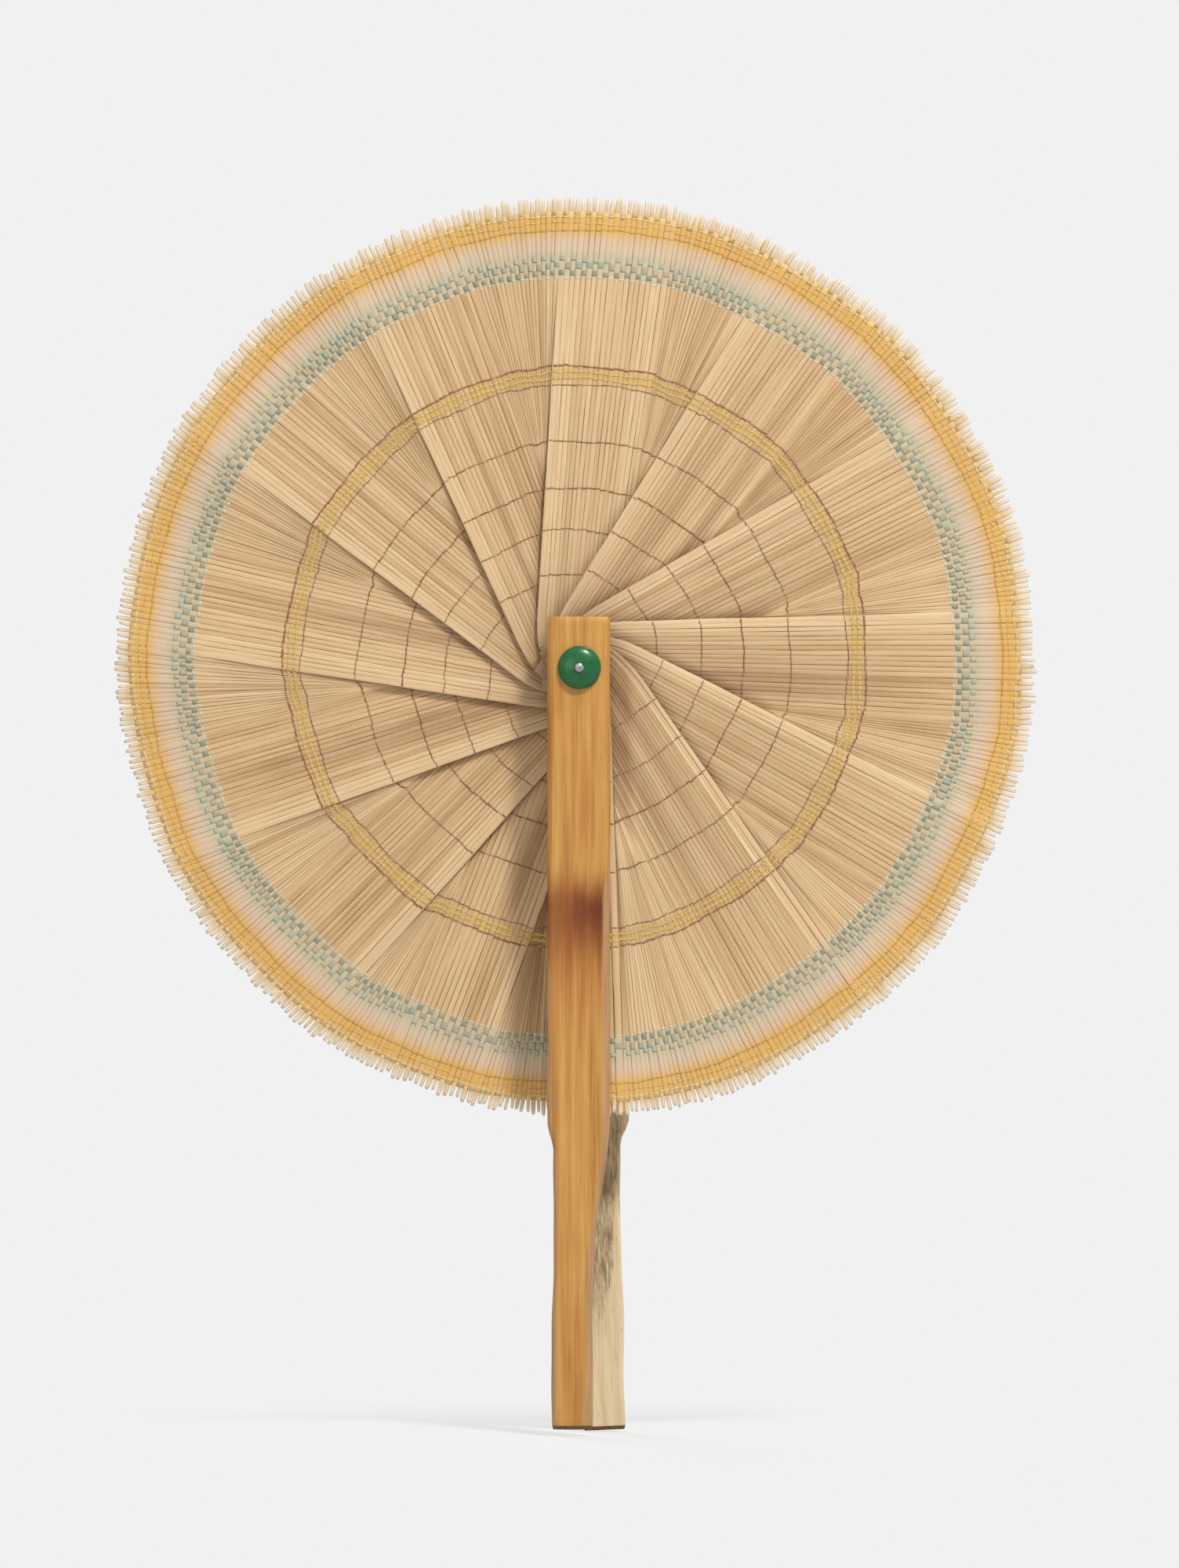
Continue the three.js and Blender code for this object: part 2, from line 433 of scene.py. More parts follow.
def lie(panel, r, shift=0.0):
    """Centre points, widths and the across, front and outward directions of each splint at distances r."""
    theta = panel.theta[:, None]
    out = np.maximum(r, 0)
    y = panel.depth[:, None] + panel.rise[:, None] * out
    width = panel.width[:, None] + panel.widen[:, None] * out
    step = panel.drop[:, None] + panel.lift[:, None] * out
    slope = np.sign(width) * step * STEEPEST / np.sqrt((STEEPEST * width) ** 2 + step ** 2)
    y = y + panel.curl[:, None] * np.abs(width) / 2
    slope = slope + panel.curl[:, None]
    drawn_in = (1 - GATHER) * np.clip(1 - r / GATHER_REACH, 0, 1) ** 2
    u = (panel.u[:, None] + panel.lean[:, None] * out) * (1 - np.minimum(drawn_in, 1 - GATHER))
    centre = place(theta, u + shift, r, y + slope * shift)
    cos_tilt = 1 / np.sqrt(1 + slope ** 2)
    sin_tilt = slope * cos_tilt
    flat = np.zeros_like(r)
    cos_theta = np.cos(theta) + flat
    sin_theta = np.sin(theta) + flat
    across = np.stack([cos_theta * cos_tilt, sin_tilt, sin_theta * cos_tilt], axis=-1)
    front = np.stack([cos_theta * sin_tilt, -cos_tilt, sin_theta * sin_tilt], axis=-1)
    outward = np.stack([sin_theta, flat, -cos_theta], axis=-1)
    return centre, np.maximum(np.abs(width), LEAST_WIDTH), across, front, outward


def part_round_pin(points):
    """Splints that pass the pin are pushed aside round its shank."""
    offset = points[..., [0, 2]] - np.array([PIN[0], PIN[2]])
    distance = np.linalg.norm(offset, axis=-1, keepdims=True)
    pushed = np.cbrt(distance ** 3 + PIN_PART ** 3)
    points[..., [0, 2]] += offset * (pushed / np.maximum(distance, TINY) - 1)
    return points


def tube_quads(tubes, rings, sides):
    """Faces of closed tubes whose points are counted ring by ring, and which of them are end caps."""
    ring = np.arange(rings - 1)[:, None] * sides
    side = np.arange(sides)[None, :]
    after = (side + 1) % sides
    wall = np.stack([ring + side, ring + after, ring + sides + after, ring + sides + side], axis=-1)
    half = np.arange(sides // 2 - 1)
    cap = np.stack([half, sides - 1 - half, sides - 2 - half, half + 1], axis=-1)
    end_cap = cap[:, ::-1] + (rings - 1) * sides
    quads = np.concatenate([wall.reshape(-1, 4), cap, end_cap])
    flat = np.arange(len(quads)) >= wall.size // 4
    quads = quads[None] + (np.arange(tubes) * rings * sides)[:, None, None]
    return quads.reshape(-1, 4), np.tile(flat, tubes)


# A splint's cross-section, as shares of its width and thickness
SPLINT_SECTION = [
    (-0.50, 0.0), (-0.41, 0.40), (0.0, 0.5), (0.41, 0.40),
    (0.50, 0.0), (0.41, -0.40), (0.0, -0.5), (-0.41, -0.40),
]
# Distances from the pin at which a splint has points
PIN_STATIONS = [-INNER_REACH, -4.5, -2.2, -1.0, 0.0, 1.0, 2.2, 4.5, 9.0, 14.0]
BODY_START = 20.0
BODY_STATIONS = 10
# Towards the tip: distances in from it, and shares of the full width
SPLINT_END = [(5.4, 1.0), (3.9, 0.97)]
TIP_STATIONS = [(5.4, 0.98), (3.9, 0.98), (2.6, 0.9), (1.2, 0.8), (0.0, 0.56)]


def beyond_ridge(panel, r):
    """How far the splints lie beyond the ridge of the panel in front, at distances r."""
    if panel.spread == 0:
        return np.full(r.shape, UNSHADED)
    u = panel.u[:, None] + panel.lean[:, None] * r
    return r * math.sin(panel.spread) + u * math.cos(panel.spread) - RIDGE


def swept_splints(panel, r, taper, reach, sway, bow, seed, shade_and_soil):
    """Flat straws through every distance in r: points, faces, flat faces, grain coordinates, and painted
    shade with soil.
    """
    centre, width, across, front, _ = lie(panel, r, sway)
    section = np.array(SPLINT_SECTION)
    side = (width * taper)[..., None] * section[:, 0]
    up = SPLINT_THICKNESS * section[:, 1] + bow[..., None]
    points = centre[:, :, None] + across[:, :, None] * side[..., None] + front[:, :, None] * up[..., None]
    along = np.broadcast_to((reach[:, None] - r)[:, :, None], side.shape)
    share = np.broadcast_to(section[:, 0] * SPLINT_PITCH, side.shape)
    grain = np.stack([along, share, np.broadcast_to(seed[:, None, None], side.shape)], axis=-1)
    quads, flat = tube_quads(len(r), r.shape[1], len(section))
    fading = np.clip((SHADE_AND_SOIL_FADE[1] - r) / (SHADE_AND_SOIL_FADE[1] - SHADE_AND_SOIL_FADE[0]), 0, 1)
    shade_and_wear = np.stack([shade_and_soil[:, None] * fading, beyond_ridge(panel, r)], axis=-1)
    shade_and_wear = np.repeat(shade_and_wear.reshape(-1, 2), len(section), axis=0)
    return part_round_pin(points).reshape(-1, 3), quads, flat, grain.reshape(-1, 3), shade_and_wear


def splint_tubes(panel, rng):
    """Every splint of a panel, from its inner end to the outermost strand."""
    count = len(panel.u)
    insets, tapers = np.array(SPLINT_END).T
    body = np.linspace(0, 1, BODY_STATIONS, endpoint=False)
    reach = panel.reach[:, None]
    r = np.concatenate([
        np.tile(PIN_STATIONS, (count, 1)),
        BODY_START + (reach - insets[0] - BODY_START) * body,
        reach - insets,
    ], axis=1)
    r[:, 0] += rng.uniform(-INNER_JITTER, INNER_JITTER, count)
    taper = np.ones(r.shape[1])
    taper[-len(tapers):] = tapers
    taper = taper * SPLINT_FILL * rng.uniform(*SPLINT_WIDTHS, (count, 1))
    taper[[0, -1]] *= FOLD_FILL
    phase = rng.uniform(0, 2 * math.pi, (count, 2))
    wave = 2 * math.pi / rng.uniform(*SWAY_LENGTHS, (count, 2))
    free = np.clip((r - BODY_START) / SWAY_GROWTH, 0, 1)
    sway = SWAY * free * np.sin(wave[:, :1] * r + phase[:, :1])
    bow = SWAY_IN_DEPTH * SWAY * free * np.sin(wave[:, 1:] * r + phase[:, 1:])
    bow += np.where(np.arange(count) % 2 == 0, SPLINT_STAGGER, -SPLINT_STAGGER)[:, None]
    # Splints at a ridge get a painted highlight: a pale tone without streaks
    gleaming = panel.u > RIDGE_GLEAM
    seed = rng.uniform(0, PANEL_TONE) + rng.uniform(0, SPLINT_TONE, count)
    seed[gleaming] = rng.uniform(*GLEAM_TONES, np.count_nonzero(gleaming))
    streak = np.convolve(rng.normal(0, 1, count + len(STREAK) - 1), STREAK, "valid")
    streak[gleaming] = 0
    seed = np.clip(seed - STREAK_TAN * streak, 0, 1)
    shade_and_soil = panel.shade_and_soil + STREAK_SOIL * np.maximum(streak, 0)
    return swept_splints(panel, r, taper, panel.reach, sway, bow, seed, shade_and_soil)


def tip_tubes(panel, rng):
    """The bare tips beyond the outermost strand."""
    count = len(panel.u)
    insets, tapers = np.array(TIP_STATIONS).T
    reach = panel.reach + rng.uniform(-TIP_JITTER, TIP_JITTER, count)
    r = reach[:, None] - insets
    loose = (1 - insets / insets[0]) ** 2
    sway = rng.uniform(-TIP_BEND, TIP_BEND, (count, 1)) * loose
    bow = rng.uniform(-TIP_BEND, TIP_BEND, (count, 1)) * loose
    taper = tapers * rng.uniform(*TIP_WIDTHS, (count, 1))
    return swept_splints(panel, r, taper, reach, sway, bow, rng.uniform(0, 1, count), panel.shade_and_soil)


@dataclass
class Row:
    """One strand across the splints, by distance in from the tips. It starts over (0) or under (1) them."""
    inset: float
    width: float
    thickness: float
    colour: tuple
    start: int


def ribbon(inset, width, colour, start=0):
    """A flat strand that passes over and under the splints in turn."""
    return [Row(inset, width, RIBBON_THICKNESS, colour, start)]


def twined(inset, width, colour):
    """Two strands that change sides between splints, so that one shows over every splint."""
    return [Row(inset, width, THREAD_THICKNESS, colour, start) for start in (0, 1)]


# Rows from the rim inward: distance in from the tips, width and colour. Front panels have all of them
RIM_ROWS = (
    twined(5.3, 0.5, PALE_ORANGE)
    + twined(7.4, 0.5, ORANGE)
    + twined(9.6, 0.42, DEEP_ORANGE)
    + ribbon(18.5, 1.5, PALE_TEAL, 1)
    + ribbon(20.6, 2.1, TEAL)
    + ribbon(22.8, 1.5, DEEP_TEAL, 1)
    + ribbon(24.2, 0.5, PALE_THREAD)
    + twined(51.4, 0.6, DARK_THREAD)
    + twined(53.2, 0.8, YELLOW)
    + twined(55.0, 0.8, YELLOW)
    + twined(57.0, 0.34, FINE_THREAD)
    + twined(74.4, 0.4, FINE_THREAD)
)
MIDDLE_ROWS = twined(88.8, 0.44, RED_THREAD)
INNER_ROWS = twined(101.5, 0.36, FINE_THREAD) + twined(115.4, 0.36, FINE_THREAD)
# A strand's cross-section, as shares of its width and thickness
ROW_SECTION = [(-0.5, 0.0), (-0.32, 0.5), (0.32, 0.5), (0.5, 0.0), (0.32, -0.5), (-0.32, -0.5)]


def row_tube(panel, row, rng, loose):
    """One strand, whole or cut between the splints, given as swept_splints gives its straws."""
    count = len(panel.u)
    float_share = CUT_SHARE if loose else FLOAT_SHARE
    tubes = count if loose else 1
    sides = len(ROW_SECTION)
    by_splint, by_inset, by_panel = ROW_WAVE
    wave = np.sin(by_splint * np.arange(count) + by_inset * row.inset + by_panel * panel.theta[0])
    r = (panel.reach - row.inset + ROW_DRIFT * wave + rng.normal(0, ROW_JITTER, count))[:, None]
    size = (row.width * rng.uniform(*ROW_WIDTHS, count))[:, None, None]
    side = np.where((np.arange(count) + row.start) % 2 == 0, 1.0, -1.0)
    lift = side * (SPLINT_THICKNESS * ROW_SEAT + SPLINT_STAGGER + row.thickness / 2)
    centre, width, across, front, outward = lie(panel, r)
    order = np.sign(panel.width + panel.widen * r[:, 0])
    rings = []
    for share in (-float_share, float_share):
        middle = centre + across * (order * share * width[:, 0])[:, None, None] + front * lift[:, None, None]
        rings.append(np.concatenate([
            middle + outward * (size * x) + front * (row.thickness * y) for x, y in ROW_SECTION
        ], axis=1))
    points = np.stack(rings, axis=1)
    quads, flat = tube_quads(tubes, count * 2 // tubes, sides)
    length = np.repeat(np.arange(count * 2) * SPLINT_PITCH / 2, sides)
    corner = np.tile(np.arange(float(sides)), count * 2)
    grain = np.stack([length, corner, np.full(len(length), rng.uniform())], axis=-1)
    return points.reshape(-1, 3), quads, flat, grain, np.tile((0.0, UNSHADED), (len(length), 1))


def outward_facing(points, quads):
    """Faces turned so that a closed mesh has its outside outside."""
    a, b, c, d = (points[quads[:, k]] for k in range(4))
    volume = np.einsum("ij,ij->", a, np.cross(b, c)) + np.einsum("ij,ij->", a, np.cross(c, d))
    return quads if volume > 0 else quads[:, ::-1]


def link_object(name, data):
    obj = bpy.data.objects.new(name, data)
    bpy.context.scene.collection.objects.link(obj)
    return obj


def add_object(name, points, faces, materials, flat, slots):
    """A mesh from points in millimetres, smooth but for its flat faces, with each face's material by slot."""
    mesh = bpy.data.meshes.new(name)
    mesh.from_pydata((np.asarray(points) * MM).tolist(), [], [list(map(int, face)) for face in faces])
    mesh.polygons.foreach_set("use_smooth", ~np.asarray(flat))
    for material in materials:
        mesh.materials.append(material)
    mesh.polygons.foreach_set("material_index", np.asarray(slots, np.int32))
    mesh.update()
    return link_object(name, mesh)


def add_point_values(obj, name, kind, field, values):
    attribute = obj.data.attributes.new(name, kind, "POINT")
    attribute.data.foreach_set(field, np.asarray(values, np.float32).ravel())


def panel_parts(panel, rows, seed, loose=False):
    """A panel's tubes with their colours and material slots, counted splint by splint."""
    rng = np.random.default_rng(seed)
    parts = [(*tubes(panel, rng), STRAW, 0) for tubes in (splint_tubes, tip_tubes)]
    return parts + [(*row_tube(panel, row, rng, loose), row.colour, 1) for row in rows]


def strip_of(part, first, last, count):
    """The points and faces of a few neighbouring splints."""
    points, quads, flat, grain, shade_and_wear, colour, slot = part
    size, faces = len(points) // count, len(quads) // count
    own, own_faces = slice(first * size, last * size), slice(first * faces, last * faces)
    return points[own], quads[own_faces] - first * size, flat[own_faces], grain[own], shade_and_wear[own], colour, slot


def woven_object(name, parts, materials):
    """Splints with their woven rows as one mesh of two materials."""
    points, quads, flat, grain, shade_and_wear, colours, slots = zip(*parts)
    counts = [len(each) for each in points]
    starts = np.cumsum([0] + counts)
    quads = [outward_facing(each, faces) + start for each, faces, start in zip(points, quads, starts)]
    slots = np.repeat(slots, [len(each) for each in quads])
    points, quads, flat = (np.concatenate(each) for each in (points, quads, flat))
    obj = add_object(name, points, quads, materials, flat, slots)
    add_point_values(obj, "grain", "FLOAT_VECTOR", "vector", np.concatenate(grain))
    add_point_values(obj, "dye", "FLOAT_COLOR", "color", np.repeat(colours, counts, axis=0))
    add_point_values(obj, "shade_and_wear", "FLOAT2", "vector", np.concatenate(shade_and_wear))
    return obj


@dataclass
class Grain:
    """Noise drawn out along fibres, by its frequencies in two directions."""
    x: float
    y: float
    layer: float = 0.0
    detail: float = 3.0
    roughness: float = 0.55
    scale: float = 1.0


class Shader:
    """A material's or the world's node tree, built up from short calls."""

    def __init__(self, name, world=False):
        self.owner = (bpy.data.worlds if world else bpy.data.materials).new(name)
        self.owner.use_nodes = True
        self.tree = self.owner.node_tree
        self.tree.nodes.clear()
        self.output = self.node("ShaderNodeOutputWorld" if world else "ShaderNodeOutputMaterial")

    def node(self, kind, **settings):
        made = self.tree.nodes.new(kind)
        for key, value in settings.items():
            setattr(made, key, value)
        return made

    def feed(self, socket, value):
        if isinstance(value, bpy.types.NodeSocket):
            self.tree.links.new(value, socket)
        else:
            socket.default_value = value

    def make(self, kind, *values, **settings):
        """The first output of a new node whose first inputs take the values."""
        made = self.node(kind, **settings)
        for socket, value in zip(made.inputs, values):
            self.feed(socket, value)
        return made.outputs[0]

    def attribute(self, name, kind):
        return self.node("ShaderNodeAttribute", attribute_name=name).outputs[kind]

    def position(self):
        return self.node("ShaderNodeTexCoord").outputs["Object"]

    def values(self, name):
        made = self.node("ShaderNodeSeparateXYZ")
        self.feed(made.inputs[0], self.attribute(name, "Vector"))
        return made.outputs[0], made.outputs[1], made.outputs[2]

    def join(self, x, y, z):
        return self.make("ShaderNodeCombineXYZ", x, y, z)

    def math(self, operation, a, b=0.0, clamp=False):
        return self.make("ShaderNodeMath", a, b, operation=operation, use_clamp=clamp)

    def plus(self, a, b, clamp=False):
        return self.math("ADD", a, b, clamp)

    def minus(self, a, b):
        return self.math("SUBTRACT", a, b)

    def times(self, a, b, clamp=False):
        return self.math("MULTIPLY", a, b, clamp)

    def scaled(self, value, factor, offset=0.0):
        return self.make("ShaderNodeMath", value, factor, offset, operation="MULTIPLY_ADD")

    def strayed(self, value, noise, amount):
        """value with noise added, up to half the amount to either side."""
        return self.plus(value, self.scaled(noise, amount, -amount / 2))

    def span(self, value, low, high, to_low=0.0, to_high=1.0):
        """value taken from low..high to to_low..to_high along an easing curve."""
        ends = low, high, to_low, to_high
        return self.make("ShaderNodeMapRange", value, *ends, interpolation_type="SMOOTHSTEP")

    def noise(self, vector, scale, detail=3.0, roughness=0.55):
        made = self.node("ShaderNodeTexNoise")
        self.feed(made.inputs["Vector"], vector)
        made.inputs["Scale"].default_value = scale
        made.inputs["Detail"].default_value = detail
        made.inputs["Roughness"].default_value = roughness
        return made.outputs["Fac"]

    def grain(self, kind, x, y, layer=None):
        """Noise of a kind, in its own layer or in another one for each value of layer."""
        layer = kind.layer if layer is None else layer
        at = self.join(self.scaled(x, kind.x), self.scaled(y, kind.y), layer)
        return self.noise(at, kind.scale, kind.detail, kind.roughness)

    def ramp(self, value, stops):
        made = self.node("ShaderNodeValToRGB")
        elements = made.color_ramp.elements
        while len(elements) < len(stops):
            elements.new(1.0)
        for element, (position, colour) in zip(elements, stops):
            element.position = position
            element.color = colour
        self.feed(made.inputs[0], value)
        return made.outputs["Color"], made.outputs["Alpha"]

    def mix(self, factor, a, b, blend="MIX"):
        made = self.node("ShaderNodeMix", data_type="RGBA", blend_type=blend)
        self.feed(made.inputs["Factor"], factor)
        self.feed(made.inputs[6], a)
        self.feed(made.inputs[7], b)
        return made.outputs[2]

    def cover(self, colour, over, mask, share):
        return self.mix(self.scaled(mask, share), colour, over)

    def tinted(self, colour, tint):
        return self.mix(1.0, colour, tint, "MULTIPLY")

    def bump(self, height, strength, distance):
        made = self.node("ShaderNodeBump")
        made.inputs["Strength"].default_value = strength
        made.inputs["Distance"].default_value = distance * MM
        self.feed(made.inputs["Height"], height)
        return made.outputs["Normal"]

    def surface(self, colour, roughness, normal, **sockets):
        made = self.node("ShaderNodeBsdfPrincipled")
        self.feed(made.inputs["Base Color"], colour)
        self.feed(made.inputs["Roughness"], roughness)
        self.feed(made.inputs["Normal"], normal)
        for key, value in sockets.items():
            made.inputs[key.replace("_", " ")].default_value = value
        return self.finish(made.outputs[0])

    def finish(self, result):
        self.feed(self.output.inputs[0], result)
        return self.owner

    def either(self, share, a, b):
        """Finish with b on a share of rays and a on the rest."""
        return self.finish(self.make("ShaderNodeMixShader", share, a, b))

    def seen_directly(self):
        """1 on rays that show the background itself: from the camera, in a mirror or through glass."""
        path = self.node("ShaderNodeLightPath").outputs
        mirrored = self.math("MAXIMUM", path["Is Camera Ray"], path["Is Glossy Ray"])
        return self.math("MAXIMUM", mirrored, path["Is Transmission Ray"])


# Dyes along a splint: distance in from its tip, colour and strength
DYES = [
    (0.0, TIP, 0.8),
    (1.6, TIP, 0.75),
    (3.8, PALE_ORANGE, 0.85),
    (6.0, ORANGE, 0.9),
    (9.8, ORANGE, 0.93),
    (12.2, PEACH, 0.85),
    (14.0, PALE_PEACH, 0.88),
    (15.4, PALE_PEACH, 0.88),
    (17.0, MINT, 0.88),
    (23.6, MINT, 0.8),
    (25.2, MINT, 0.0),
    (51.2, YELLOW, 0.0),
    (52.6, YELLOW, 0.7),
    (55.6, YELLOW, 0.7),
    (57.0, YELLOW, 0.0),
    # Last, the straw turns darker towards the pin
    (104.0, NEAR_PIN_TONE, 0.0),
    (134.0, NEAR_PIN_TONE, 0.34),
]
DYE_STOPS = [(inset / LEAF_REACH, (*colour[:3], strength)) for inset, colour, strength in DYES]
# How far the dyes run along a splint, and how weakly some splints take them
DYE_RUN = 3.0
WEAK_DYE = 0.62
# Straw's grain, along splints and across them or from one to the next
STRAW_FIBRE = Grain(0.03, 2.4, detail=5.0, roughness=0.65)
STRAW_PATCH = Grain(0.03, 57.0, detail=2.0)
# Patches that vary the painted shade between splints
GAP_SHADE_PATCHES = Grain(0.05, 91.0)
DYE_BLUR = Grain(1.0, 0.4, layer=3.0, scale=31.0)
DYE_TAKEN = Grain(37.0, 0.06, layer=6.0, detail=2.0)
# Each splint and strand has its own pattern
SPLINT_LAYERS = 83.0
STRAND_LAYERS = 41.0
# Factor and offset of what makes up a straw's tone
SEED_TONE = (0.42, 0.02)
FIBRE_TONE = (1.1, -0.39)
PATCH_TONE = (0.5, -0.1)
# Rosy splints: cycles of tone, and how much
ROSY_CYCLE = 13.7
ROSY_SHARE = 0.55
# Where the painted shade along a splint's sides, for the shaded gaps between splints, begins and ends
SPLINT_SIDE = (0.32 * SPLINT_PITCH, 0.46 * SPLINT_PITCH)


def straw_material():
    mat = Shader("straw")
    along, across, seed = mat.values("grain")
    streak = mat.grain(STRAW_FIBRE, along, across, mat.scaled(seed, SPLINT_LAYERS))
    patch = mat.grain(STRAW_PATCH, along, seed)
    tone = mat.plus(mat.scaled(seed, *SEED_TONE), mat.scaled(streak, *FIBRE_TONE))
    tone = mat.plus(tone, mat.scaled(patch, *PATCH_TONE), clamp=True)
    colour, _ = mat.ramp(tone, STRAW_TONES)
    rosy = mat.span(mat.math("FRACT", mat.scaled(seed, ROSY_CYCLE)), 0.7, 1.0)
    rosy = mat.times(rosy, mat.span(patch, 0.35, 0.7))
    colour = mat.cover(colour, ROSY_STRAW, rosy, ROSY_SHARE)
    inset = mat.strayed(along, mat.grain(DYE_BLUR, seed, across), DYE_RUN)
    dye, strength = mat.ramp(mat.scaled(inset, 1 / LEAF_REACH), DYE_STOPS)
    strength = mat.times(strength, mat.span(mat.grain(DYE_TAKEN, seed, along), 0.3, 0.55, WEAK_DYE, 1.0))
    dye = mat.mix(mat.scaled(streak, 0.5, 0.1), dye, mat.tinted(dye, DYE_SHADE))
    colour = mat.mix(strength, colour, dye)
    # Painted shade along each splint's sides for the shaded gaps, patchy and weaker where dyed
    side = mat.span(mat.math("ABSOLUTE", across), *SPLINT_SIDE)
    patches = mat.span(mat.grain(GAP_SHADE_PATCHES, along, seed, across), 0.36, 0.6)
    shade = mat.times(mat.scaled(patches, 0.8, 0.18), mat.scaled(strength, -0.35, 1.0))
    colour = mat.mix(mat.times(side, shade), colour, STRAW_GAP_SHADE)
    # Painted shade in folds and on the rearmost panels, with soil along streaks and the panels' darkening
    # towards the pin
    shade_and_soil, beyond, _ = mat.values("shade_and_wear")
    # Painted shade beside the ridge of the panel in front
    shade_and_soil = mat.plus(shade_and_soil, mat.span(beyond, 0.0, SHADE_REACH, SHADE, 0.0))
    shaded_and_soiled = mat.times(shade_and_soil, mat.scaled(streak, 0.8, 0.6), clamp=True)
    colour = mat.mix(shaded_and_soiled, colour, mat.tinted(colour, SHADE_AND_SOIL_TINT))
    roughness = mat.scaled(streak, 0.25, 0.5)
    return mat.surface(colour, roughness, mat.bump(streak, 0.5, 0.08), Specular_IOR_Level=0.35)


# Yarn's grain, along strands and round them or from one to the next
YARN_FIBRE = Grain(1.1, 0.9, detail=4.0, roughness=0.6, scale=2.0)
YARN_SLOW = Grain(0.08, 29.0, detail=2.0)
YARN_FADED = Grain(0.16, 53.0, layer=2.0)
FADED_SHARE = 0.55


def yarn_material():
    mat = Shader("dyed_yarn")
    length, corner, seed = mat.values("grain")
    fibre = mat.grain(YARN_FIBRE, length, corner, mat.scaled(seed, STRAND_LAYERS))
    slow = mat.grain(YARN_SLOW, length, seed)
    shade = mat.plus(mat.scaled(fibre, 0.5, 0.5), mat.scaled(slow, 0.5, -0.05), clamp=True)
    dye = mat.attribute("dye", "Color")
    colour = mat.mix(shade, mat.tinted(dye, YARN_SHADE), dye)
    faded = mat.span(mat.grain(YARN_FADED, length, seed), 0.45, 0.68)
    colour = mat.cover(colour, STRAW, faded, FADED_SHARE)
    normal = mat.bump(fibre, 0.6, 0.08)
    return mat.surface(colour, 0.85, normal, Sheen_Weight=0.25, Specular_IOR_Level=0.2)


# Skin of the sticks: its grain across and along them
SKIN_FINE = Grain(3.2, 0.035, detail=5.0, roughness=0.65)
SKIN_BROAD = Grain(0.42, 0.011, layer=4.0)
SKIN_CLOUD = Grain(0.09, 0.03, layer=9.0, detail=2.0)
SKIN_RAGGED = Grain(0.55, 0.02, layer=2.0, detail=4.0, roughness=0.6)
SKIN_SPECKS = Grain(1.0, 0.35, layer=7.0, scale=1.4)
SKIN_TONES = [
    (0.15, srgb(164, 108, 46)),
    (0.42, srgb(192, 138, 66)),
    (0.62, srgb(204, 153, 80)),
    (0.90, srgb(218, 174, 106)),
]
FIBRE_TONES = [(0.3, srgb(150, 112, 74)), (0.6, srgb(184, 146, 104)), (0.8, srgb(198, 164, 124))]
SCORCH = srgb(156, 76, 18)
CHAR = srgb(96, 32, 0)
SKIN_SPECK = srgb(120, 78, 40)
# Where the scorch and its charred core begin and fade, below the pin, and how raggedly
SCORCH_START, START_RAGGED = (57.0, 73.0), 12.0
SCORCH_FADE, FADE_RAGGED = (76.0, 118.0), -34.0
CORE_FADE, CORE_RAGGED = (74.0, 98.0), -20.0
# Across the stick the core darkens to the right, and all stops short of the right edge
CORE_SIDE, CORE_SIDE_RAGGED = (-7.0, 5.0), 16.0
SCORCH_SIDE = (8.8, 7.0)
SCORCH_SHARE = 0.62
CORE_SHARE = 0.92
# Bare fibre along the edges: where it begins, and how wide it is
LEFT_PARED, LEFT_PARED_WIDTH = (84.0, 96.0), 1.2
LEFT_HANDLE, LEFT_HANDLE_WIDTH = (140.0, 152.0), 1.9
RIGHT_HANDLE, RIGHT_HANDLE_WIDTH = (140.0, 190.0), 5.2
BARE_RAGGED = 1.6
BARE_BORDER = (-0.2, 0.5)
BARE_SHARE = 0.8


